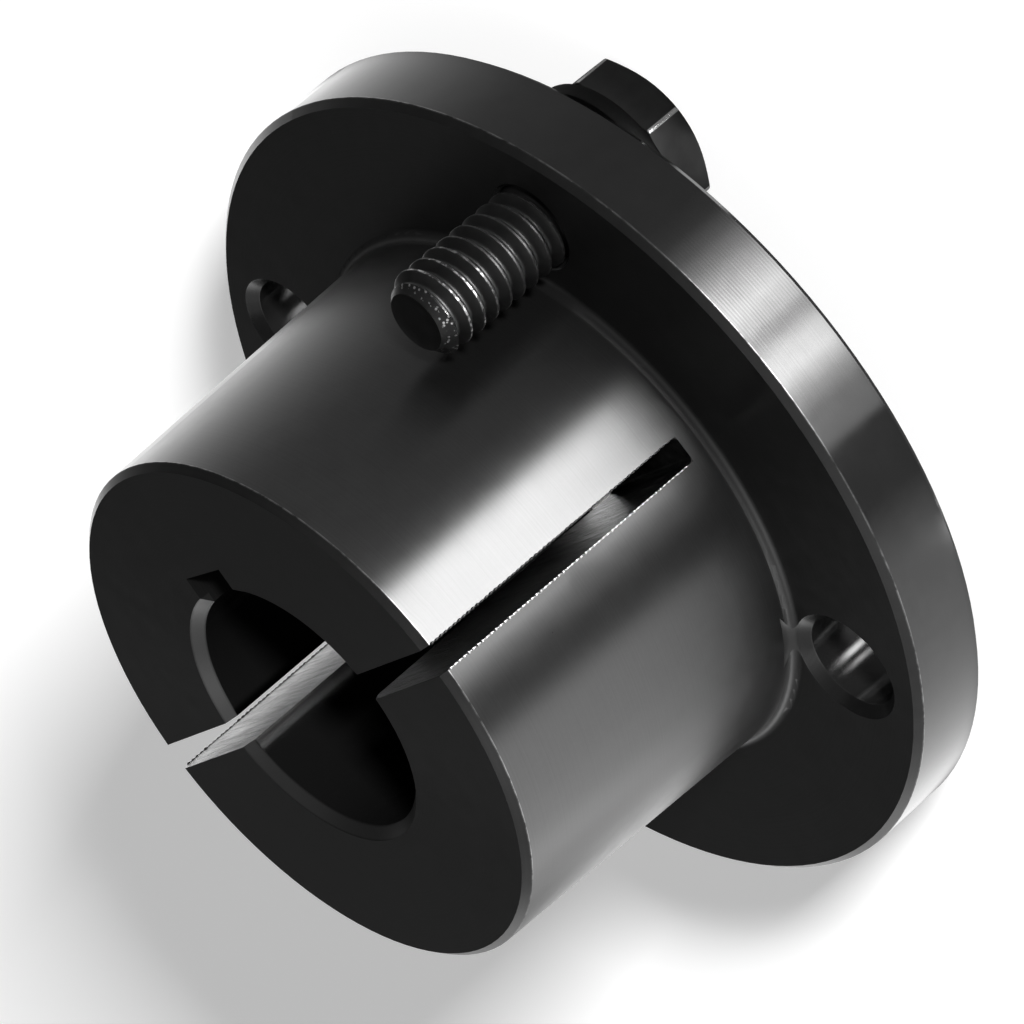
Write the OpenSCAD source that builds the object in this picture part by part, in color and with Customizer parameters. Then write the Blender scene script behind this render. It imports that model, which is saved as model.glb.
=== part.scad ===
/* Split taper bushing with two hex cap screws and lock washers.
   Origin on the bore axis at the back face of the flange, +Z towards the small
   end of the barrel. +X is the keyway side, and the flange holes lie on the
   diagonals between X and Y. All sizes are in millimetres. */

/* [Flange] */
// Outside diameter of the flange
flange_d = 63.5; // [60:0.5:76]
// Thickness of the flange
flange_t = 6.5; // [5:0.1:10]
// Chamfer on both outer edges of the flange
flange_chamfer = 0.5; // [0.2:0.1:1]
// Diameter of the bolt circle
bolt_circle_d = 50.8; // [50:0.1:51.6]

/* [Barrel] */
// Overall length from the back of the flange to the small end
overall_l = 32; // [28:0.5:40]
// Outside diameter of the barrel at its small end
small_end_d = 40.2; // [38:0.1:40.6]
// Taper of the barrel, as growth of diameter for each millimetre of length
barrel_taper = 0.0625; // [0.03:0.0025:0.07]
// Chamfer at the small end
barrel_chamfer = 0.5; // [0.2:0.1:1]
// Radius of the fillet between barrel and flange
root_fillet = 0.7; // [0.3:0.1:0.9]

/* [Bore and keyway] */
// Diameter of the bore
bore_d = 19.05; // [12.7:0.05:22.2]
// Chamfer at both ends of the bore
bore_chamfer = 0.75; // [0.3:0.05:1.2]
// Width of the keyway
keyway_w = 4.76; // [3:0.01:6]
// Depth of the keyway, measured at its side
keyway_depth = 2.38; // [1:0.01:3]
// Angle of the keyway from the X axis
keyway_angle = -2; // [-8:0.5:8]

/* [Saw slots] */
// Width of the saw cut
slot_w = 2; // [1:0.1:3]
// Length of whole barrel left between the flange and the end of the slots
slot_land = 1.9; // [1.2:0.1:6]
// Corner radius at the end of the slots
slot_corner = 0.4; // [0.1:0.05:0.45]
// Angle of the slot plane from the X axis
slot_angle = 91; // [86:0.5:96]
// Shift of the slot plane off the bore axis, towards the keyway
slot_shift = 0.35; // [0:0.05:0.8]

/* [Flange holes] */
// Diameter of the two plain holes for the cap screws
clear_hole_d = 7.14; // [6.6:0.02:7.4]
// Chamfer of the plain holes, on the barrel side of the flange
clear_hole_chamfer = 0.7; // [0.3:0.05:0.9]
// Chamfer at both ends of the tapped holes
tapped_hole_chamfer = 0.25; // [0.1:0.05:0.5]

/* [Cap screws] */
// Outside diameter of the screw thread
screw_d = 6.2; // [5:0.1:6.2]
// Length of the screws under the head
screw_l = 18.7; // [14:0.1:25]
// Diameter of the flat at the screw point
screw_point_d = 4.4; // [3:0.1:4.6]
// Width of the hexagon across its flats
head_af = 10.95; // [9.5:0.05:11.2]
// Height of the hexagon head
head_h = 3.5; // [3:0.1:5]
// Angle of the chamfer on top of the head
head_chamfer_angle = 30; // [15:1:35]
// Turn of each hexagon from the radial direction, one value for each screw
head_turns = [22, 41]; // [0:1:60]

/* [Lock washers] */
// Outside diameter of the lock washer
washer_d = 12.4; // [10.4:0.1:12.6]
// Thickness of the lock washer
washer_t = 1.2; // [0.8:0.05:2]
// Width of the split in the lock washer
washer_split = 1; // [0.5:0.1:1.6]
// Slant of the split from the screw axis
washer_split_slant = 22; // [0:1:30]
// Turn of the split from the radial direction
washer_split_turn = 140; // [100:5:260]

/* [Hidden] */
$fn = 96;
// Radial clearances: thread in its tapped hole, and washer round its screw
thread_clearance = 0.06;
washer_clearance = 0.15;
// How far a cutting body reaches past the surface that it cuts
cut = 1;
flange_r = flange_d / 2;
bore_r = bore_d / 2;
small_r = small_end_d / 2;
// Growth of the barrel's radius for each millimetre towards the flange
taper_k = barrel_taper / 2;
// Radius that the tapered side would reach at the face of the flange
root_r = small_r + taper_k * (overall_l - barrel_chamfer - flange_t);
// Centre and upper tangent point of the root fillet, which touches face and taper
slant = sqrt(1 + taper_k * taper_k);
fillet_r = root_r + root_fillet * (slant - taper_k);
fillet_z = flange_t + root_fillet;
fillet_top = [fillet_r - root_fillet / slant, fillet_z - root_fillet * taper_k / slant];
slot_z = flange_t + slot_land;
// Distance from the bore axis to the floor of the keyway
keyway_r = sqrt(bore_r * bore_r - keyway_w * keyway_w / 4) + keyway_depth;
bolt_r = bolt_circle_d / 2;
clear_angles = [45, 225];
screw_angles = [-45, 135];
tapped_hole_d = screw_d + 2 * thread_clearance;
washer_bore_d = screw_d + 2 * washer_clearance;
// Edge break on the lock washer and under the head
washer_edge = 0.12;
head_edge = 0.15;
// Circle on top of the head inside which its chamfer ends
head_top_r = 0.475 * head_af;
head_corner_r = head_af / 2 / cos(30);
steel = "#2c2d2f";
screw_black = "#1f2022";
washer_black = "#262729";

// Half section of the turned blank, with x as radius and y as height
module blank_outline() {
    polygon([
        [bore_r + bore_chamfer, 0],
        [flange_r - flange_chamfer, 0],
        [flange_r, flange_chamfer],
        [flange_r, flange_t - flange_chamfer],
        [flange_r - flange_chamfer, flange_t],
        [root_r, flange_t],
        [small_r, overall_l - barrel_chamfer],
        [small_r - barrel_chamfer, overall_l],
        [bore_r + bore_chamfer, overall_l],
        [bore_r, overall_l - bore_chamfer],
        [bore_r, bore_chamfer]
    ]);
}

// Fillet between the taper and the face of the flange, tangent to both
module root_outline() {
    inner_r = root_r - root_fillet;
    difference() {
        polygon([
            [inner_r, flange_t - root_fillet],
            [fillet_r, flange_t - root_fillet],
            [fillet_r, fillet_z],
            fillet_top,
            [inner_r, fillet_top[1]]
        ]);
        translate([fillet_r, fillet_z]) circle(r = root_fillet);
    }
}

// Outline of a saw cut seen along the slot, open at the small end
module slot_outline() {
    half_w = slot_w / 2;
    corner_x = half_w - slot_corner;
    top_z = overall_l + cut;
    translate([-half_w, slot_z + slot_corner]) square([slot_w, top_z - slot_z - slot_corner]);
    translate([-corner_x, slot_z]) square([2 * corner_x, top_z - slot_z]);
    translate([-corner_x, slot_z + slot_corner]) circle(r = slot_corner);
    translate([corner_x, slot_z + slot_corner]) circle(r = slot_corner);
}

// One straight saw cut through both walls of the barrel
module saw_slots() {
    rotate([0, 0, slot_angle - 90])
        translate([slot_shift, 0, 0])
        rotate([90, 0, 0])
        linear_extrude(height = 2 * flange_r, center = true)
        slot_outline();
}

module keyway() {
    rotate([0, 0, keyway_angle])
        translate([0, -keyway_w / 2, -cut])
        cube([keyway_r, keyway_w, overall_l + 2 * cut]);
}

// Drilled hole through the flange on the bolt circle, chamfered on the barrel side
// of the flange, and on its back face too if back_chamfer is more than nothing
module flange_hole(angle, hole_d, chamfer, back_chamfer = 0) {
    hole_r = hole_d / 2;
    back_r = hole_r + back_chamfer + cut;
    rotate([0, 0, angle]) translate([bolt_r, 0, 0]) {
        translate([0, 0, -cut]) cylinder(r = hole_r, h = flange_t + root_fillet + 2 * cut);
        translate([0, 0, flange_t - chamfer]) cylinder(r1 = hole_r, r2 = hole_r + chamfer + cut, h = chamfer + cut);
        if (back_chamfer > 0) translate([0, 0, -cut]) cylinder(r1 = back_r, r2 = hole_r, h = back_chamfer + cut);
    }
}

module bushing() color(steel) {
    difference() {
        rotate_extrude() {
            blank_outline();
            root_outline();
        }
        saw_slots();
        keyway();
        for (angle = clear_angles) flange_hole(angle, clear_hole_d, clear_hole_chamfer);
        for (angle = screw_angles) flange_hole(angle, tapped_hole_d, tapped_hole_chamfer, tapped_hole_chamfer);
    }
}

// Screw standing on its head at its own origin: the bearing face is at z = 0
module screw_solid(head_turn) {
    shank_r = screw_d / 2;
    point_r = screw_point_d / 2;
    chamfer_drop = (head_corner_r - head_top_r) * tan(head_chamfer_angle);
    rotate([0, 0, head_turn]) intersection() {
        translate([0, 0, -head_h]) cylinder(r = head_corner_r, h = head_h, $fn = 6);
        rotate_extrude() polygon([
            [0, -head_h],
            [head_top_r, -head_h],
            [head_corner_r, chamfer_drop - head_h],
            [head_corner_r, -head_edge],
            [head_corner_r - head_edge, 0],
            [0, 0]
        ]);
    }
    rotate_extrude() polygon([
        [0, -head_edge],
        [shank_r, -head_edge],
        [shank_r, screw_l - (shank_r - point_r)],
        [point_r, screw_l],
        [0, screw_l]
    ]);
}

module cap_screw(index) color(screw_black) {
    rotate([0, 0, screw_angles[index]])
        translate([bolt_r, 0, -washer_t])
        screw_solid(head_turns[index]);
}

// Split ring of flat section, closed up flat under the screw head
module washer_solid() {
    inner_r = washer_bore_d / 2;
    outer_r = washer_d / 2;
    difference() {
        rotate_extrude() polygon([
            [inner_r, -washer_t],
            [outer_r - washer_edge, -washer_t],
            [outer_r, washer_edge - washer_t],
            [outer_r, -washer_edge],
            [outer_r - washer_edge, 0],
            [inner_r, 0]
        ]);
        translate([0, 0, -washer_t / 2])
            rotate([washer_split_slant, 0, 0])
            translate([0, -washer_split / 2, -2 * washer_t])
            cube([outer_r + cut, washer_split, 4 * washer_t]);
    }
}

module lock_washer(index) color(washer_black) {
    rotate([0, 0, screw_angles[index]])
        translate([bolt_r, 0, 0])
        rotate([0, 0, washer_split_turn])
        washer_solid();
}

bushing();
cap_screw(0);  // cap_screw_1
cap_screw(1);  // cap_screw_2
lock_washer(0);  // lock_washer_1
lock_washer(1);  // lock_washer_2
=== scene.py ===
"""Split taper bushing, blackened steel, standing on its two cap screw heads.

Everything is in metres in the part's frame: bore axis on Z, back face of the flange at z = 0,
keyway towards +X. Sizes below are written in millimetres and turned to metres by MM.
"""
import math
from types import SimpleNamespace

import bpy
import numpy as np
from mathutils import Matrix, Vector


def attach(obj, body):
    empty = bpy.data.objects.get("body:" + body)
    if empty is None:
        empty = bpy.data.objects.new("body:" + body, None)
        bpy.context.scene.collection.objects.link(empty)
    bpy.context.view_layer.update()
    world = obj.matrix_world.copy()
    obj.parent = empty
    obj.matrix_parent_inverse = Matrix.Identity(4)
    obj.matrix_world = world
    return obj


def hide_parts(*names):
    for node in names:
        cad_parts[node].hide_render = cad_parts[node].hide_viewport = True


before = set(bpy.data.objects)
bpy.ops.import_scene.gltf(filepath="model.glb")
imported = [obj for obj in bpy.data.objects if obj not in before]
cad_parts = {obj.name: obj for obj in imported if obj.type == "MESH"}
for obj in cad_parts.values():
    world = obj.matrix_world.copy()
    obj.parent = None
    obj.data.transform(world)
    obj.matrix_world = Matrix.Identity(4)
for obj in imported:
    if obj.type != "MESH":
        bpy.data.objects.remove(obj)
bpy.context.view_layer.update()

MM = 0.001
# Sizes of the bushing, in millimetres, as its source has them
FLANGE_R = 31.75
FLANGE_T = 6.5
LENGTH = 32.0
SMALL_R = 20.1
# Growth of the barrel's radius for each millimetre towards the flange
TAPER_K = 0.03125
CHAMFER = 0.5
# Radius of the ring on the root fillet of the barrel where its painted highlight is centred
ROOT_FILLET_R = 21.2
BORE_R = 9.525
BORE_CHAMFER = 0.75
# The saw cuts: width, shift of their plane off the bore axis, height of their floor, and turn
SLOT_W = 2.0
SLOT_SHIFT = 0.35
SLOT_END = FLANGE_T + 1.9
SLOT_TURN = math.radians(1.0)
# The flange holes lie on this circle, on the diagonals
BOLT_R = 25.4
HOLE_R = 3.57
HOLE_CHAMFER = 0.7
# Feed of the lathe tool on the rim, and pitch of the saw marks
RIM_FEED = 0.24
SAW_MARK = 0.42
# How far the edge of a mask reaches past the surface that it takes in
SLACK = 0.02

# Lock washers, and the split in them: its width, its slant and its turn from the radial direction
WASHER_T = 1.2
WASHER_IN = 3.25
WASHER_OUT = 6.2
SPLIT_W = 1.0
SPLIT_SLANT = math.radians(22)
SPLIT_TURN = math.radians(140)

# Cap screws: places round the bolt circle, and turn of each hexagon from the radial direction
SCREW_ANGLES = (math.radians(-45), math.radians(135))
HEAD_TURNS = (math.radians(22), math.radians(41))
HEAD_SEAT_Z = -WASHER_T
HEAD_TOP_Z = HEAD_SEAT_Z - 3.5
HEAD_APOTHEM = 5.475
# Circle on top of the head inside which its 30 degree chamfer ends
HEAD_TOP_R = 5.2
CREST_R = 3.1
ROOT_R = 2.38
PITCH = 1.27
POINT_R = 2.2
POINT_Z = HEAD_SEAT_Z + 18.7
# Where along its pitch the thread of both screws starts
THREAD_PHASE = 0.62
# From the middle of a crest to the middle of a root: distance in pitches, and share of the depth
HALF_THREAD = ((0, 0), (0.055, 0), (0.075, 0.03), (0.095, 0.08), (0.2, 0.4), (0.33, 0.8), (0.375, 0.91),
               (0.43, 0.98), (0.5, 1))

# Settings that many nodes share
MULTIPLY = {"operation": "MULTIPLY"}
SUBTRACT = {"operation": "SUBTRACT"}
LESS = {"operation": "LESS_THAN"}
MORE = {"operation": "GREATER_THAN"}
COLOURS = {"data_type": "RGBA"}
NUMBERS = {"data_type": "FLOAT"}
VECTORS = {"data_type": "VECTOR"}
SMOOTH = {"interpolation_type": "SMOOTHSTEP"}


# Small helpers
def linear(code):
    """sRGB hex code to linear red, green, blue and alpha 1."""
    c = np.array([int(code[i:i + 2], 16) for i in (1, 3, 5)]) / 255
    return (*np.where(c <= 0.04045, c / 12.92, ((c + 0.055) / 1.055) ** 2.4).tolist(), 1.0)


def add(tree, kind, settings=None, **links):
    """Adds one node: settings are its own properties, and each link names an input socket, given
    by name or by i and its number, with a value or with another node's output socket."""
    node = tree.nodes.new("ShaderNode" + kind)
    for key, value in (settings or {}).items():
        setattr(node, key, value)
    for key, value in links.items():
        by_number = key[0] == "i" and key[1:].isdigit()
        socket = node.inputs[int(key[1:]) if by_number else key.replace("_", " ")]
        if isinstance(value, bpy.types.NodeSocket):
            tree.links.new(value, socket)
        else:
            socket.default_value = value
    return node


def new_material(name):
    material = bpy.data.materials.new(name)
    material.use_nodes = True
    material.node_tree.nodes.clear()
    return material, material.node_tree


def grid_quads(rows, columns, closed):
    """Quads between neighbouring rows and columns of a vertex grid; closed joins the last column
    to the first."""
    i, j = np.meshgrid(np.arange(rows - 1), np.arange(columns if closed else columns - 1), indexing="ij")
    k = (j + 1) % columns
    quads = [i * columns + j, i * columns + k, (i + 1) * columns + k, (i + 1) * columns + j]
    return np.stack(quads, -1).reshape(-1, 4)


def joined(parts):
    """One array of vertices and one of quads, from parts that each hold such a pair."""
    starts = np.cumsum([0] + [len(vertices) for vertices, _ in parts[:-1]])
    faces = [quads + start for (_, quads), start in zip(parts, starts)]
    return np.concatenate([vertices for vertices, _ in parts]), np.concatenate(faces)


def outward(vertices, faces):
    """The same quads, turned round if the closed shell's signed volume is negative: six times it is
    the sum of a . (b x c) + a . (c x d) over its quads abcd."""
    a, b, c, d = (vertices[faces[:, k]] for k in range(4))
    volume = (np.einsum("ij,ij->i", a, np.cross(b, c)) + np.einsum("ij,ij->i", a, np.cross(c, d))).sum()
    return faces if volume > 0 else faces[:, ::-1]


def new_object(name, vertices, faces):
    """Mesh object of an array of vertices in metres and a list of faces, linked to the scene."""
    mesh = bpy.data.meshes.new(name)
    mesh.from_pydata(vertices.tolist(), [], faces)
    obj = bpy.data.objects.new(name, mesh)
    bpy.context.scene.collection.objects.link(obj)
    return obj


def make_mesh(name, vertices, faces, sharp_deg):
    """Puts arrays of vertices (mm) and quads into a mesh object, merges doubles so that seams and
    poles close, turns the faces outwards, and marks edges sharper than sharp_deg as sharp."""
    v = vertices * MM
    merge_step = 2e-7
    key = np.round(v / merge_step).astype(np.int64)
    _, first, back = np.unique(key, axis=0, return_index=True, return_inverse=True)
    v = v[first]
    f = outward(v, back.reshape(-1)[faces])
    loops = [[p for k, p in enumerate(q) if p != q[k - 1]] for q in f.tolist()]
    obj = new_object(name, v, [q for q in loops if len(set(q)) > 2])
    mesh = obj.data
    mesh.validate()
    mesh.polygons.foreach_set("use_smooth", np.ones(len(mesh.polygons), bool))
    mesh.set_sharp_from_angle(angle=math.radians(sharp_deg))
    return obj


def dress(obj, material, node):
    """Gives a finished piece its material, body and slot, and lets it stand for a CAD node."""
    obj.data.materials.append(material)
    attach(obj, "root")
    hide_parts(node)


# Formulas in nodes
def millimetres(tree):
    """Place on the object in millimetres."""
    place = add(tree, "TexCoord").outputs["Object"]
    return add(tree, "VectorMath", {"operation": "SCALE"}, i0=place, Scale=1 / MM).outputs[0]


def flat_length(tree, vector):
    """Distance from the Z axis: length of the vector with its z left out."""
    flat = add(tree, "VectorMath", MULTIPLY, i0=vector, i1=(1, 1, 0)).outputs[0]
    return add(tree, "VectorMath", {"operation": "LENGTH"}, i0=flat).outputs["Value"]


def from_hole_axis(tree, place):
    """Place measured from the axis of the nearest of the four flange holes, which lie on the
    diagonals at BOLT_R: place minus its sign times BOLT_R / sqrt 2."""
    side = add(tree, "VectorMath", {"operation": "SIGN"}, i0=place).outputs[0]
    half = BOLT_R / math.sqrt(2)
    centre = add(tree, "VectorMath", MULTIPLY, i0=side, i1=(half, half, 0)).outputs[0]
    return add(tree, "VectorMath", SUBTRACT, i0=place, i1=centre).outputs[0]


def from_slot_plane(tree, place):
    """Place with x measured across the saw cuts from their middle plane, and y along them."""
    return add(tree, "Mapping", None, Vector=place, Rotation=(0, 0, -SLOT_TURN),
               Location=(-SLOT_SHIFT, 0, 0)).outputs[0]


def step_up(tree, value, low, high):
    """0 below low, 1 above high, and a smooth rise between them."""
    return add(tree, "MapRange", SMOOTH, i0=value, i1=low, i2=high).outputs[0]


def product(tree, *factors):
    """All the factors multiplied together."""
    result = factors[0]
    for factor in factors[1:]:
        result = add(tree, "Math", MULTIPLY, i0=result, i1=factor).outputs[0]
    return result


def total(tree, *terms):
    """All the terms added up."""
    result = terms[0]
    for term in terms[1:]:
        result = add(tree, "Math", {"operation": "ADD"}, i0=result, i1=term).outputs[0]
    return result


def near(tree, value, centre, reach):
    """1 within reach of centre and 0 further out, with a soft edge of a third of the reach."""
    gap = add(tree, "Math", SUBTRACT, i0=value, i1=centre).outputs[0]
    gap = add(tree, "Math", {"operation": "ABSOLUTE"}, i0=gap).outputs[0]
    return add(tree, "MapRange", SMOOTH, i0=gap, i1=reach, i2=reach * 0.67).outputs[0]


# Materials
def bushing_regions(tree):
    """Where a point lies on the bushing: places and distances in millimetres, and masks that are 1
    in the saw cuts, in the flange holes, in the bore or on the rim, and 0 elsewhere."""
    at = SimpleNamespace(place=millimetres(tree))
    xyz = add(tree, "SeparateXYZ", None, i0=at.place)
    at.y, at.z, at.r = xyz.outputs["Y"], xyz.outputs["Z"], flat_length(tree, at.place)
    at.turn = add(tree, "Math", {"operation": "ARCTAN2"}, i0=at.y, i1=xyz.outputs["X"]).outputs[0]

    at.cut = from_slot_plane(tree, at.place)
    at.cut_x = add(tree, "SeparateXYZ", None, i0=at.cut).outputs["X"]
    between = add(tree, "Math", {"operation": "COMPARE"}, i0=at.cut_x, i1=0.0, i2=SLOT_W / 2 + SLACK)
    above = add(tree, "Math", MORE, i0=at.z, i1=SLOT_END - SLACK)
    at.in_cut = product(tree, between.outputs[0], above.outputs[0])
    at.off_cut = add(tree, "Math", SUBTRACT, i0=1.0, i1=at.in_cut).outputs[0]

    at.hole = from_hole_axis(tree, at.place)
    hole_r = flat_length(tree, at.hole)
    below = add(tree, "Math", LESS, i0=at.z, i1=FLANGE_T - SLACK)
    in_chamfer = add(tree, "Math", LESS, i0=hole_r, i1=HOLE_R + HOLE_CHAMFER + SLACK)
    in_drill = add(tree, "Math", LESS, i0=hole_r, i1=HOLE_R + SLACK)
    at.in_hole = product(tree, in_chamfer.outputs[0], below.outputs[0])
    at.hole_wall = product(tree, at.in_hole, in_drill.outputs[0])

    at.in_bore = product(tree, at.off_cut, add(tree, "Math", LESS, i0=at.r, i1=BORE_R + SLACK).outputs[0])
    at.on_rim = product(tree, step_up(tree, at.r, FLANGE_R - CHAMFER - 0.05, FLANGE_R - CHAMFER),
                        step_up(tree, at.z, FLANGE_T - CHAMFER + 0.03, FLANGE_T - CHAMFER - 0.03))
    return at


def bushing_relief(tree, at):
    """Adds the marks of the tools to the regions, each as a value that swings about 0: ridge and
    fine for the lathe tool, cloud for the uneven black layer and marks for the saw."""
    facing = add(tree, "SeparateXYZ", None, i0=add(tree, "NewGeometry").outputs["Normal"]).outputs["Z"]
    facing = add(tree, "Math", {"operation": "ABSOLUTE"}, i0=facing).outputs[0]
    # grooves follow the tool: z on the turned sides, radius on the faced ends
    along = add(tree, "Mix", NUMBERS, i0=facing, i2=at.z, i3=at.r).outputs[0]
    turns = product(tree, along, 2 * math.pi / RIM_FEED)
    ridge = add(tree, "Math", {"operation": "SINE"}, i0=turns).outputs[0]
    # painted highlight: the lathe ridges are drawn, in colour and relief, mostly on the short length of the
    # rim where its highlight falls
    rim_highlight_zone = total(tree, 0.1, near(tree, at.turn, math.radians(-73.5), math.radians(10)))
    at.ridge = product(tree, ridge, at.on_rim, rim_highlight_zone)

    # real grooves are about 0.05 mm apart; these are drawn 0.12 mm apart so that they show
    fine = add(tree, "TexNoise", {"noise_dimensions": "1D"}, W=along, Scale=1 / 0.12, Detail=2.0,
               Roughness=0.6)
    cloud = add(tree, "TexNoise", None, Vector=at.place, Scale=1 / 1.6, Detail=4.0, Roughness=0.65)
    # saw marks run nearly straight across each cut wall, about 0.6 mm apart and broken up finer
    marks_at = add(tree, "Mapping", None, Vector=at.cut, Rotation=(math.radians(9), 0, 0),
                   Scale=(0.2, 0.2, 1.7))
    marks = add(tree, "TexNoise", None, Vector=marks_at.outputs[0], Scale=1.0, Detail=5.0, Roughness=0.7,
                Distortion=0.9)
    at.fine, at.cloud, at.marks = (total(tree, noise.outputs["Fac"], -0.5) for noise in (fine, cloud, marks))


def edge_wear_and_highlight(tree, at):
    """Mask of the edges painted bright, partly as handling wear and partly as highlight: the rim and the
    small end where their chamfers start, and the outer edges of the saw cuts, all in short broken lengths."""
    broken = add(tree, "TexNoise", None, Vector=at.place, Scale=1 / 0.9, Detail=5.0, Roughness=0.7)
    broken = step_up(tree, broken.outputs["Fac"], 0.34, 0.6)
    rim_edge = product(tree, near(tree, at.r, FLANGE_R, 0.07), near(tree, at.z, FLANGE_T - CHAMFER, 0.07))
    end_edge = product(tree, near(tree, at.r, SMALL_R, 0.12), near(tree, at.z, LENGTH - CHAMFER, 0.06))
    cut_edge = product(tree, near(tree, at.cut_x, 0.0, SLOT_W / 2 + 0.14), at.off_cut,
                       step_up(tree, at.z, SLOT_END, SLOT_END + 0.1),
                       step_up(tree, at.r, SMALL_R - 0.35, SMALL_R - 0.2))
    return product(tree, total(tree, rim_edge, end_edge, cut_edge), broken)


def bushing_colour(tree, at):
    """Colour of the black layer, laid over in turn by what each region and mark makes of it, painted
    highlights and shade among them.
    """
    shade = total(tree, 0.5, product(tree, at.ridge, 0.17), product(tree, at.fine, 0.45),
                  product(tree, at.cloud, 0.5))
    colour = add(tree, "Mix", COLOURS, i0=shade, i6=linear("#343434"), i7=linear("#464646")).outputs[2]
    # painted highlight: the fillet at the root of the barrel is painted lighter, as the thin lit line on it
    fillet = product(tree, near(tree, at.r, ROOT_FILLET_R, 0.55), near(tree, at.z, FLANGE_T + 0.42, 0.42))
    # painted shade: beside the cuts the bore is painted near black
    bore_shade_by_cuts = product(tree, at.in_bore, near(tree, at.cut_x, 0.0, SLOT_W / 2 + 0.8))
    # painted highlight: the bore's chamfer at the small end is painted lighter, as a lit ring
    lip = product(tree, near(tree, at.r, BORE_R + BORE_CHAMFER / 2, BORE_CHAMFER / 2),
                  add(tree, "Math", MORE, i0=at.z, i1=LENGTH - BORE_CHAMFER - SLACK).outputs[0])
    # painted light: the saw marks in the cut on the +Y side are painted lighter than in the other, as the lit
    # wall
    lit_cut_side = add(tree, "Math", MORE, i0=at.y, i1=0.0).outputs[0]
    lit_cut_mark_colour = add(tree, "Mix", COLOURS, i0=lit_cut_side, i6=linear("#3c3c3c"), i7=linear("#6a6a6a")).outputs[2]
    sawn = add(tree, "Mix", COLOURS, i0=total(tree, 0.5, product(tree, at.marks, 4.5)),
               i6=linear("#1c1c1c"), i7=lit_cut_mark_colour).outputs[2]
    layers = ((at.in_bore, linear("#3e3e3e")), (bore_shade_by_cuts, linear("#101010")), (fillet, linear("#484848")),
              (lip, linear("#525252")), (at.hole_wall, linear("#545454")), (at.in_cut, sawn),
              (edge_wear_and_highlight(tree, at), linear("#707070")))
    for mask, over in layers:
        colour = add(tree, "Mix", COLOURS, i0=mask, i6=colour, i7=over).outputs[2]
    return colour


def black_oxide_turned():
    """Black oxide on lathe-turned steel: a thin neutral black conversion layer over fine tool
    grooves, so that lights stretch along the axis, stay narrow round it and break into fine rings.
    The saw cuts show rough cross marks in the cut steel, the drilled holes are smooth round their
    own axes, and painted highlights light the sharpest edges, broken like wear, the root fillet, the
    bore's chamfer and the +Y cut, with painted shade in the bore beside the cuts."""
    material, tree = new_material("black_oxide_on_turned_steel")
    at = bushing_regions(tree)
    bushing_relief(tree, at)
    rough = total(tree, 0.3, product(tree, at.cloud, 0.1), product(tree, at.in_hole, -0.08),
                  product(tree, at.on_rim, -0.16), product(tree, at.in_bore, -0.17))

    height = total(tree, product(tree, at.ridge, 0.0003), product(tree, at.fine, 0.0005),
                   product(tree, at.cloud, 0.0016))
    for mask, wave, depth in ((at.in_hole, at.cloud, 0.0004), (at.in_cut, at.marks, 0.15)):
        height = add(tree, "Mix", NUMBERS, i0=mask, i2=height, i3=product(tree, wave, depth)).outputs[0]
    bump = add(tree, "Bump", None, Height=height, Distance=MM, Strength=1.0).outputs[0]

    # grooves run round the bore axis, in a hole round its own axis, and in a cut along the barrel
    axis = (0.0, 0.0, 1.0)
    groove = add(tree, "VectorMath", {"operation": "CROSS_PRODUCT"}, i0=axis, i1=at.place).outputs[0]
    drilled = add(tree, "VectorMath", {"operation": "CROSS_PRODUCT"}, i0=axis, i1=at.hole).outputs[0]
    for mask, over in ((at.in_hole, drilled), (at.in_cut, axis)):
        groove = add(tree, "Mix", VECTORS, i0=mask, i4=groove, i5=over).outputs[1]
    shader = add(tree, "BsdfPrincipled", None, Base_Color=bushing_colour(tree, at), Metallic=0.94,
                 Roughness=rough, Normal=bump, Anisotropic=0.75, Anisotropic_Rotation=0.25, Tangent=groove)
    add(tree, "OutputMaterial", None, Surface=shader.outputs[0])
    return material


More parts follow.
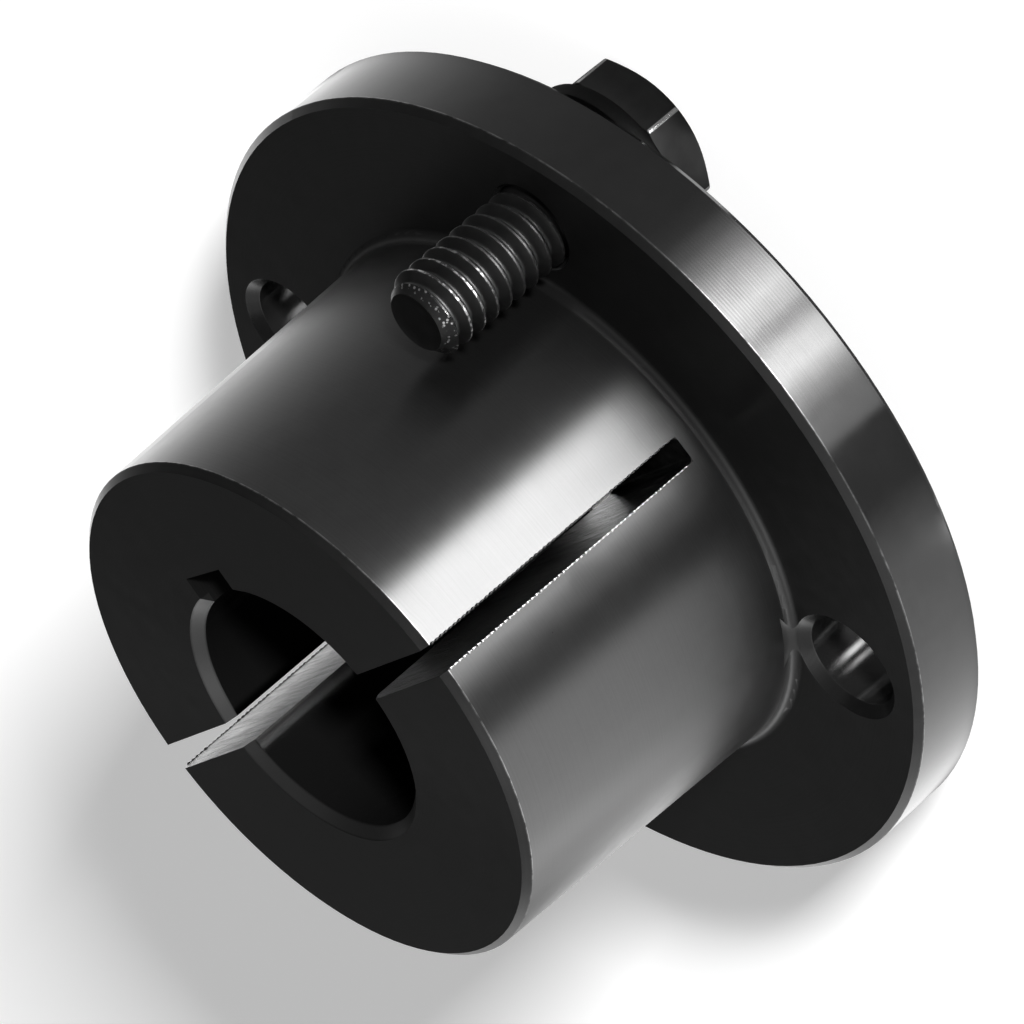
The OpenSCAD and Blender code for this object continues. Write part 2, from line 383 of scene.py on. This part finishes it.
def black_screw():
    """Black oxide on a cold-headed screw with a rolled thread: matte and slightly mottled on head
    and flanks, with painted highlights, over a little handling wear, on the thread's crests, round the point
    and on the head's corners."""
    material, tree = new_material("black_oxide_on_rolled_screw")
    place = millimetres(tree)
    z = add(tree, "SeparateXYZ", None, i0=place).outputs["Z"]
    screw_r = flat_length(tree, from_hole_axis(tree, place))
    # mottle, grain and spots that break up the painted glints, by size in millimetres, detail and roughness
    noises = [add(tree, "TexNoise", None, Vector=place, Scale=1 / size, Detail=detail, Roughness=rough)
              for size, detail, rough in ((1.1, 4.0, 0.5), (0.16, 3.0, 0.6), (0.45, 2.0, 0.5))]
    mottle, grain, spots = (noise.outputs["Fac"] for noise in noises)
    glint_dots = add(tree, "TexVoronoi", None, Vector=place, Scale=1 / 0.3).outputs["Distance"]

    # painted highlight: the crests are painted bright as glints, most towards the point, over a little
    # handling wear
    crest_glint_share = total(tree, product(tree, step_up(tree, z, 0.0, FLANGE_T), 0.05),
                   product(tree, step_up(tree, z, POINT_Z - 6, POINT_Z - 2), 0.6))
    crest = product(tree, step_up(tree, screw_r, CREST_R - 0.04, CREST_R - 0.005), crest_glint_share,
                    step_up(tree, spots, 0.46, 0.64))
    # painted highlight: glint dots round the chamfer of the point
    point = product(tree, near(tree, z, POINT_Z - 0.55, 0.4),
                    step_up(tree, screw_r, POINT_R - 0.05, POINT_R + 0.05),
                    step_up(tree, glint_dots, 0.36, 0.24), step_up(tree, spots, 0.44, 0.52), 0.9)
    # painted highlight: the corners of the head are painted near white
    corner = product(tree, step_up(tree, screw_r, HEAD_APOTHEM + 0.74, HEAD_APOTHEM + 0.79),
                     step_up(tree, spots, 0.22, 0.36))
    wear_and_glints = total(tree, crest, point, corner)

    colour = add(tree, "Mix", COLOURS, i0=mottle, i6=linear("#2e2e2e"), i7=linear("#404040")).outputs[2]
    colour = add(tree, "Mix", COLOURS, i0=wear_and_glints, i6=colour, i7=linear("#c4c4c4")).outputs[2]
    rough = total(tree, 0.4, product(tree, mottle, 0.1), product(tree, wear_and_glints, -0.22))
    height = total(tree, product(tree, mottle, 0.0018), product(tree, grain, 0.0022))
    bump = add(tree, "Bump", None, Height=height, Distance=MM, Strength=1.0).outputs[0]
    shader = add(tree, "BsdfPrincipled", None, Base_Color=colour, Metallic=0.94, Roughness=rough, Normal=bump)
    add(tree, "OutputMaterial", None, Surface=shader.outputs[0])
    return material


def black_spring():
    """Oil-blackened spring steel of the lock washers: matte and evenly grained from its quench, and painted
    darker still as the shade under the screw heads.
    """
    material, tree = new_material("oil_black_spring_steel_in_painted_shade")
    place = millimetres(tree)
    scale = add(tree, "TexNoise", None, Vector=place, Scale=1 / 0.3, Detail=5.0, Roughness=0.7).outputs["Fac"]
    # painted shade: both colours are darkened for the shade under the heads
    colour = add(tree, "Mix", COLOURS, i0=scale, i6=linear("#121212"), i7=linear("#262626")).outputs[2]
    rough = total(tree, 0.42, product(tree, scale, 0.2))
    bump = add(tree, "Bump", None, Height=product(tree, scale, 0.006), Distance=MM, Strength=1.0).outputs[0]
    shader = add(tree, "BsdfPrincipled", None, Base_Color=colour, Metallic=0.94, Roughness=rough, Normal=bump)
    add(tree, "OutputMaterial", None, Surface=shader.outputs[0])
    return material


def burred_steel():
    """Saw burr: torn steel stripped of the black layer at the cut edges, lighter than the layer beside it."""
    material, tree = new_material("bare_steel_saw_burr")
    place = millimetres(tree)
    torn = add(tree, "TexNoise", None, Vector=place, Scale=1 / 0.2, Detail=3.0, Roughness=0.6).outputs["Fac"]
    # painted highlight and shade: the burrs on the edge away from the keyway are painted bright, those on the
    # other edge dark
    across = add(tree, "SeparateXYZ", None, i0=from_slot_plane(tree, place)).outputs["X"]
    lit_burr_edge = step_up(tree, across, 0.5, -0.5)
    colour = add(tree, "Mix", COLOURS, i0=torn, i6=linear("#747474"), i7=linear("#cccccc")).outputs[2]
    colour = add(tree, "Mix", COLOURS, i0=lit_burr_edge, i6=linear("#303030"), i7=colour).outputs[2]
    rough = total(tree, 0.2, product(tree, torn, 0.2))
    shader = add(tree, "BsdfPrincipled", None, Base_Color=colour, Metallic=1.0, Roughness=rough)
    add(tree, "OutputMaterial", None, Surface=shader.outputs[0])
    return material


# Pieces
def placed(x, y, z, index):
    """Points drawn round a screw's own axis, moved to its place on the bolt circle, in one list."""
    a = SCREW_ANGLES[index]
    x, y, z = np.broadcast_arrays(x + BOLT_R * math.cos(a), y + BOLT_R * math.sin(a), z)
    return np.stack([x, y, z], -1).reshape(-1, 3)


def thread_radius(turn):
    """Radius by the turn in pitches from a crest: a flat crest with rounded edges, straight 60
    degree flanks and a rounded root, the same on both sides of the crest."""
    from_crest = np.abs((turn + 0.5) % 1.0 - 0.5)
    return CREST_R - (CREST_R - ROOT_R) * np.interp(from_crest, *np.array(HALF_THREAD).T)


def threaded_shank(index):
    """Right-hand thread as one surface: radius = thread_radius((z - P angle / 2 pi) / P), cut by the
    cone of the point. Rows follow the helix, so crest and root edges lie along grid lines. Height
    z = P (row + angle / 2 pi), held between the two ends."""
    around = 144
    half = np.array(HALF_THREAD)[:, 0]
    rows = np.concatenate([half, 1 - half[-2:0:-1]])
    low = HEAD_SEAT_Z - 0.4
    turns = np.arange(math.floor(low / PITCH) - 2, math.ceil(POINT_Z / PITCH) + 2)
    s = (turns[:, None] + rows[None, :]).reshape(-1, 1) + THREAD_PHASE
    a = np.arange(around + 1)[None, :] / around
    z = PITCH * (s + a)
    point_slope = 0.95
    r = np.minimum(thread_radius(s - THREAD_PHASE), POINT_R + point_slope * np.maximum(POINT_Z - z, 0.0))
    r = np.where(z <= low, ROOT_R, r)
    angle = 2 * math.pi * a
    side = placed(r * np.cos(angle), r * np.sin(angle), np.clip(z, low, POINT_Z), index)
    parts = [(side, grid_quads(len(s), around + 1, False))]
    # the point: a shallow dished face, radius falls to 0 in rings; and a flat disc inside the head
    share = np.array([1.0, 0.93, 0.85, 0.5, 0.0])[:, None]
    dish = np.array([0.0, 0.35, 0.8, 1.0, 1.0])[:, None]
    for end_z, end_r, depth in ((POINT_Z, POINT_R, 0.12), (low, ROOT_R, 0.0)):
        r = end_r * share
        cap = placed(r * np.cos(angle), r * np.sin(angle), end_z - depth * dish, index)
        quads = grid_quads(len(share), around + 1, False)
        parts.append((cap, quads[:, ::-1] if end_z == low else quads))
    return joined(parts)


def hexagon_head(index):
    """Hexagon with rounded corners: radius = apothem / cos(angle) on the flats and an arc of 0.2 mm
    at the corners. Rings run from the top centre over the 30 degree chamfer cone, down the flats
    and in under the head."""
    # radius of the corners, and breaks of the edges of the chamfer and under the head
    corner, edge, under = 0.2, 0.12, 0.14
    sixth = math.radians(60)
    half = [0, 8, 15, 22, 26, 28, 28.8, 29.3, 29.7]
    local = np.tile(np.radians([-30] + [-step for step in half[:0:-1]] + half), 6)
    angle = np.repeat(np.arange(6), len(local) // 6) * sixth + local
    inner = (HEAD_APOTHEM - corner) / math.cos(sixth / 2)
    off = inner * np.sin(sixth / 2 - np.abs(local))
    arc = inner * np.cos(sixth / 2 - np.abs(local)) + np.sqrt(np.maximum(corner ** 2 - off ** 2, 0))
    arc_start = math.atan((HEAD_APOTHEM - corner) * math.tan(sixth / 2) / HEAD_APOTHEM)
    outer = np.where(np.abs(local) > arc_start, arc, HEAD_APOTHEM / np.cos(local))

    def cone(radius):
        return HEAD_TOP_Z + np.maximum(radius - HEAD_TOP_R, 0) * math.tan(math.radians(30))

    chamfer_end = np.maximum(outer - edge, HEAD_TOP_R + 0.1)
    rings = (
        (0, HEAD_TOP_Z),
        (HEAD_TOP_R - 1.5, HEAD_TOP_Z),
        (HEAD_TOP_R - 0.15, HEAD_TOP_Z),
        (HEAD_TOP_R, HEAD_TOP_Z + 0.03),
        (chamfer_end, cone(chamfer_end)),
        (outer - 0.3 * edge, cone(outer) - 0.3 * edge),
        (outer, cone(outer) + 0.7 * edge),
        (outer, 0.5 * (cone(outer) + HEAD_SEAT_Z)),
        (outer, HEAD_SEAT_Z - under),
        (outer - 0.04, HEAD_SEAT_Z - 0.05),
        (outer - under, HEAD_SEAT_Z),
        (CREST_R + 0.1, HEAD_SEAT_Z),
        (0, HEAD_SEAT_Z),
    )
    r, z = (np.stack([np.broadcast_to(ring[k], outer.shape) for ring in rings]) for k in (0, 1))
    turned = angle + SCREW_ANGLES[index] + HEAD_TURNS[index] + sixth / 2
    points = placed(r * np.cos(turned), r * np.sin(turned), z, index)
    return points, grid_quads(len(rings), len(angle), True)


def cap_screw(index, material):
    """Threaded shank and hexagon head as two closed shells of one piece."""
    shells = (threaded_shank(index), hexagon_head(index))
    shells = [(points, outward(points, quads)) for points, quads in shells]
    obj = make_mesh("screw_%d_threaded" % (index + 1), *joined(shells), 40)
    dress(obj, material, "cap_screw_%d" % (index + 1))


def lock_washer(index, material):
    """Split ring: a rounded four-sided section carried round the screw from one slanted end to the
    other. Angle at each point = end angle(r, z) + u times what is left of the turn."""
    edge = 0.14
    bend = 0.3 * edge
    section = np.array([
        [WASHER_IN + edge, 0], [WASHER_OUT - edge, 0],
        [WASHER_OUT - bend, -bend],
        [WASHER_OUT, -edge], [WASHER_OUT, edge - WASHER_T],
        [WASHER_OUT - bend, bend - WASHER_T],
        [WASHER_OUT - edge, -WASHER_T], [WASHER_IN + edge, -WASHER_T],
        [WASHER_IN + bend, bend - WASHER_T],
        [WASHER_IN, edge - WASHER_T], [WASHER_IN, -edge],
        [WASHER_IN + bend, -bend],
    ])
    r, z = section.T
    off = (z + WASHER_T / 2) * math.tan(SPLIT_SLANT)
    half_split = SPLIT_W / 2 / math.cos(SPLIT_SLANT)
    first = np.arcsin((half_split - off) / r)
    last = 2 * math.pi + np.arcsin((-half_split - off) / r)
    u = np.linspace(0, 1, 121)[:, None]
    angle = first + (last - first) * u + SCREW_ANGLES[index] + SPLIT_TURN
    ring = placed(r * np.cos(angle), r * np.sin(angle), z, index)
    parts = [(ring, grid_quads(len(u), len(r), True))]
    quads = grid_quads(2, len(r), True)
    # each end is a fan from its rim to its middle
    for rim, fan in ((ring[:len(r)], quads[:, ::-1]), (ring[-len(r):], quads)):
        parts.append((np.concatenate([rim, np.broadcast_to(rim.mean(0), rim.shape)]), fan))
    obj = make_mesh("lock_washer_%d_ring" % (index + 1), *joined(parts), 40)
    dress(obj, material, "lock_washer_%d" % (index + 1))


def saw_burrs(material):
    """Torn beads along the outer edges of both saw cuts. Each is a thin tube along the edge, which
    rises with the barrel's taper; its radius swells once per saw mark: radius = least + swell times
    the tooth's own size times |sin(pi z / mark)| to a power that rounds the tooth."""
    dice = np.random.default_rng(11)
    z = np.arange(SLOT_END + 0.5, LENGTH - CHAMFER - 0.02, SAW_MARK / 8)
    a = np.linspace(0, 2 * math.pi, 9)[:-1]
    growth = 0.5 + 0.5 * (z - SLOT_END) / (LENGTH - SLOT_END)
    wall = SMALL_R + TAPER_K * (LENGTH - CHAMFER - z)
    cos_turn, sin_turn = math.cos(SLOT_TURN), math.sin(SLOT_TURN)
    rows = np.broadcast_to(z[:, None], (len(z), len(a)))
    beads = []
    for side in (-1, 1):
        for edge in (-1, 1):
            size = dice.uniform(0.5, 1.0, 200)[(z / SAW_MARK).astype(int)] * growth
            tooth = size * np.abs(np.sin(math.pi * z / SAW_MARK)) ** 1.1
            bead_r = 0.03 + (0.14 if edge < 0 else 0.09) * tooth
            bead_r[[0, -1]] = 0.0
            across = SLOT_SHIFT + edge * SLOT_W / 2
            x = across + bead_r[:, None] * np.cos(a)
            y = side * np.sqrt(wall ** 2 - across ** 2)[:, None] + bead_r[:, None] * np.sin(a)
            points = [x * cos_turn - y * sin_turn, x * sin_turn + y * cos_turn, rows]
            points = np.stack(points, -1).reshape(-1, 3)
            beads.append((points, outward(points, grid_quads(len(z), len(a), True))))
    obj = make_mesh("saw_cut_burrs", *joined(beads), 60)
    obj.data.materials.append(material)
    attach(obj, "root")


# Stage
# The floor lies just under the head tops, so that the two never share one plane
FLOOR_Z = HEAD_TOP_Z - 0.02
# Radii of the floor's rings of faces, from the middle to its edge
FLOOR_RINGS = (0, 50, 150, 400, 1200, 4000)
# The floor's own light, which keeps its shadow pale
FLOOR_GLOW = 0.2

CAMERA_AZIMUTH = math.radians(-80.0)
# Light cards on the floor, by the turned wall's normal angle from the camera's azimuth that mirrors
# them. For the barrel: from, to and softness of the edges in degrees, and radiance
BARREL_CARDS = ((-7.5, 7.0, 3, 27.0), (-13.2, -7.5, 3, 11.0), (-17, -7.5, 5, 2.4), (-48, -27, 6, 3.6),
                (-60, -48, 8, 3.6), (-68, -60, 8, 1.3), (-90, -68, 8, 0.2))
# Radiance of the floor between those cards
BARREL_BASE = 0.36
# A card whose light only grows from one direction to another, and its radiance there
BARREL_SLOPE = (38, 80, 2.0)
# For the rim: direction and radiance along one bent card, which ends in a sharp edge
RIM_CARD = ((-90, 1.0), (-80, 1.6), (-75, 1.95), (-60, 1.95), (-55, 1.9), (-40, 1.75), (-35, 1.55),
            (-30, 1.05), (-26, 0.42), (-17.2, 0.45), (-16.2, 2.6), (-12, 3.2), (-9.5, 7.0), (-6.5, 16.5),
            (-4, 15.0), (-2, 8.0), (-0.8, 7.5), (0, 11.5), (3, 16.0), (6, 9.5), (9, 4.2), (11.5, 1.6),
            (14, 0.5), (17, 0.3), (30, 0.28), (45, 0.42), (55, 0.8), (65, 1.1), (80, 1.5), (95, 1.8))
# Lit patches of floor under the part, which show in its holes, its slot and one side of the screw
# head: x from and to, y from and to, in millimetres, and radiance
FLOOR_PATCHES = ((1, 9, 13.9, 21, 5.0), (-20.5, -17.9, -33, -27, 22.0), (-14.9, -13.0, -30.5, -26.6, 13.0),
                 (12.2, 16.5, -27.5, -22.2, 0.7), (12.5, 16.0, 5.0, 8.2, 9.0))
# Width of the soft edge of each patch, and radiance of the floor between them
PATCH_SOFT = 1.2
UNDER_BASE = 0.12
# The floor under the flange reaches this far in front of the camera, and less far at the sides
UNDER_R = 37.5
UNDER_SIDE_LOSS = 4.5
UNDER_SOFT = 3
# The rim mirrors the floor up to this radius in front of the camera and further at the sides, where
# the flange hides the floor close to it from the barrel, and the barrel mirrors what lies beyond
RIM_REACH = 52
RIM_SIDE_GAIN = 18
REACH_SOFT = 6
# Direction in degrees that counts as the side, and radius of the barrel halfway up
SIDE = 75
BARREL_MID_R = 20.5

# Radiance of the room by elevation in degrees: a low pale band, a dim middle and a soft ceiling
ROOM = ((-90, 0.2), (-9, 0.3), (9, 0.3), (17, 0.075), (42, 0.075), (56, 0.4), (90, 0.4))
# How much of it each side has, by the x of the direction: a window wall at -X, a dark wall at +X
ROOM_SIDES = ((-1.0, 7.5), (-0.85, 7.5), (-0.6, 3.9), (-0.34, 1.75), (-0.15, 1.0), (0.08, 0.6), (0.3, 0.45),
              (0.65, 0.5), (1.0, 0.7))


def rise(x, low, high):
    """0 below low, 1 above high, and a smooth rise between them."""
    u = np.clip((x - low) / (high - low), 0, 1)
    return u * u * (3 - 2 * u)


def band(x, low, high, soft):
    """1 between low and high, with edges that are soft wide and centred on low and high."""
    return rise(x, low - soft / 2, low + soft / 2) * (1 - rise(x, high - soft / 2, high + soft / 2))


def mirror_angle(p, wall, a):
    """Normal angle t of the turned wall of radius wall that mirrors the floor point p, which lies
    in direction a: solves angle(p - wall e^(i t)) = 2 t by going half of the way 80 times."""
    t = np.broadcast_to(a / 2, p.shape)
    for _ in range(80):
        far = np.angle(p - wall * np.exp(1j * t))
        far = np.where(far - a > math.pi, far - 2 * math.pi, far)
        far = np.where(far - a < -math.pi, far + 2 * math.pi, far)
        t = 0.5 * t + 0.5 * (far / 2)
    return t


def light_cards():
    """Studio cards lying on the floor round the part, seen only in its reflections. A point's
    direction is that of the far light which a turned wall mirrors to the camera from there,
    measured from the camera's azimuth. Within UNDER_R the cards give way to patches in x and y."""
    r = np.concatenate([np.linspace(0.5, 60, 120), np.linspace(64, 190, 43)])[:, None]
    a = np.radians(np.linspace(-180, 180, 481))[None, :]
    p = r * np.exp(1j * a)
    wall = np.interp(r, [RIM_REACH, RIM_REACH + REACH_SOFT], [FLANGE_R, BARREL_MID_R])
    t = np.degrees(mirror_angle(p, wall, a))

    barrel = BARREL_BASE + BARREL_SLOPE[2] * rise(t, *BARREL_SLOPE[:2])
    for low, high, soft, level in BARREL_CARDS:
        barrel += level * band(t, low, high, soft)
    rim = np.interp(t, *np.array(RIM_CARD).T)
    start = RIM_REACH + RIM_SIDE_GAIN * (t / SIDE) ** 2
    share = rise(r, start, start + REACH_SOFT)
    glow = barrel * share + rim * (1 - share)

    turned = p * np.exp(1j * CAMERA_AZIMUTH)
    under = np.full(t.shape, UNDER_BASE)
    for x_low, x_high, y_low, y_high, level in FLOOR_PATCHES:
        in_x = band(turned.real, x_low, x_high, PATCH_SOFT)
        under += level * in_x * band(turned.imag, y_low, y_high, PATCH_SOFT)
    under_r = UNDER_R - UNDER_SIDE_LOSS * np.minimum(np.abs(t) / SIDE, 1) ** 2
    inside = 1 - rise(r, under_r, under_r + UNDER_SOFT)
    glow = glow * (1 - inside) + under * inside

    v = np.stack([turned.real, turned.imag, np.full(p.shape, FLOOR_Z + 0.1)], -1)
    cards = new_object("light_cards", v.reshape(-1, 3) * MM, grid_quads(*p.shape, False).tolist())
    attribute = cards.data.attributes.new("glow", "FLOAT", "POINT")
    attribute.data.foreach_set("value", glow.reshape(-1).astype(np.float32))
    material, tree = new_material("studio_light_card")
    material.cycles.emission_sampling = "NONE"
    strength = add(tree, "Attribute", {"attribute_name": "glow"}).outputs["Fac"]
    glow_shader = add(tree, "Emission", None, Color=(1, 1, 1, 1), Strength=strength)
    add(tree, "OutputMaterial", None, Surface=glow_shader.outputs[0])
    cards.data.materials.append(material)
    cards.visible_camera = cards.visible_diffuse = cards.visible_shadow = False
    cards.visible_transmission = cards.visible_volume_scatter = False


def floor():
    """Pale round floor just under the screw heads' tops. Its own light shows only to the camera and
    in what mirrors it or lets it through, so that it lights nothing."""
    r = np.array(FLOOR_RINGS)[:, None]
    a = np.linspace(0, 2 * math.pi, 97)[None, :-1]
    v = np.stack([r * np.cos(a), r * np.sin(a), np.full((r.size, a.size), FLOOR_Z)], -1)
    obj = new_object("floor", v.reshape(-1, 3) * MM, grid_quads(r.size, a.size, True).tolist())
    material, tree = new_material("pale_paper_floor")
    material.cycles.emission_sampling = "NONE"
    paper = add(tree, "BsdfDiffuse", None, Color=linear("#f2f2f2"))
    path = add(tree, "LightPath")
    seen = path.outputs["Is Camera Ray"]
    for kind in ("Is Glossy Ray", "Is Transmission Ray"):
        seen = add(tree, "Math", {"operation": "MAXIMUM"}, i0=seen, i1=path.outputs[kind]).outputs[0]
    lift = add(tree, "Emission", None, Color=(1, 1, 1, 1), Strength=product(tree, seen, FLOOR_GLOW))
    both = add(tree, "AddShader", None, i0=paper.outputs[0], i1=lift.outputs[0])
    add(tree, "OutputMaterial", None, Surface=both.outputs[0])
    obj.data.materials.append(material)


def softbox():
    """Soft square lamp behind the camera and off to its side, facing the part. It gives the floor
    its shadow and shows in no reflection."""
    azimuth, elevation, distance = math.radians(-75), math.radians(17), 1.1
    back = Vector((math.cos(azimuth) * math.cos(elevation), math.sin(azimuth) * math.cos(elevation),
                   math.sin(elevation)))
    target = Vector((0, 0, 0.01))
    data = bpy.data.lights.new("softbox_behind_camera", "AREA")
    data.shape = "SQUARE"
    data.size = 0.13
    data.energy = 31
    obj = bpy.data.objects.new("softbox_behind_camera", data)
    turn = back.to_track_quat("Z", "Y").to_matrix().to_4x4()
    obj.matrix_world = Matrix.Translation(target + back * distance) @ turn
    obj.visible_camera = False
    obj.visible_glossy = False
    bpy.context.scene.collection.objects.link(obj)


def room():
    """A room that grows pale at the horizon and overhead, and is far brighter on its -X side."""
    world = bpy.data.worlds.new("studio")
    bpy.context.scene.world = world
    world.use_nodes = True
    tree = world.node_tree
    tree.nodes.clear()
    toward = add(tree, "SeparateXYZ", None, i0=add(tree, "TexCoord").outputs["Generated"])
    heights = [(math.sin(math.radians(elevation)), level) for elevation, level in ROOM]
    ramps = []
    for axis, stops, full in (("Z", heights, 1.0), ("X", ROOM_SIDES, 8.0)):
        along = add(tree, "Math", {"operation": "MULTIPLY_ADD"}, i0=toward.outputs[axis], i1=0.5, i2=0.5)
        ramp = add(tree, "ValToRGB", None, Fac=along.outputs[0])
        elements = ramp.color_ramp.elements
        for k, (place, level) in enumerate(stops):
            stop = elements[k] if k < 2 else elements.new(0.5 + 0.5 * place)
            stop.position = 0.5 + 0.5 * place
            stop.color = (level / full, level / full, level / full, 1)
        ramps.append(product(tree, ramp.outputs["Color"], full))
    shade = add(tree, "Background", None, Color=(1, 1, 1, 1), Strength=product(tree, *ramps))
    add(tree, "OutputWorld", None, Surface=shade.outputs[0])


def camera():
    """The photograph's own pose, roll included, fitted to the circles of the part."""
    data = bpy.data.cameras.new("camera")
    data.sensor_width = 36.0
    data.sensor_fit = "HORIZONTAL"
    data.lens = 273.6
    data.clip_start, data.clip_end = 0.01, 20.0
    obj = bpy.data.objects.new("camera", data)
    place = (0.081774, -0.45666, 0.254099)
    right = Vector((-0.57815, -0.46122, -0.67307)).normalized()
    back = Vector((0.1537, -0.8717, 0.46531)).normalized()
    up = back.cross(right).normalized()
    turn = Matrix((right, up, back)).transposed().to_4x4()
    obj.matrix_world = Matrix.Translation(place) @ turn
    bpy.context.scene.collection.objects.link(obj)
    bpy.context.scene.camera = obj


camera()
room()
softbox()
floor()
light_cards()

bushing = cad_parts["bushing"]
bushing.data.materials.clear()
bushing.data.materials.append(black_oxide_turned())
screw_finish = black_screw()
spring_finish = black_spring()
for index in range(len(SCREW_ANGLES)):
    cap_screw(index, screw_finish)
    lock_washer(index, spring_finish)
saw_burrs(burred_steel())

view = bpy.context.scene.view_settings
view.view_transform = "Standard"
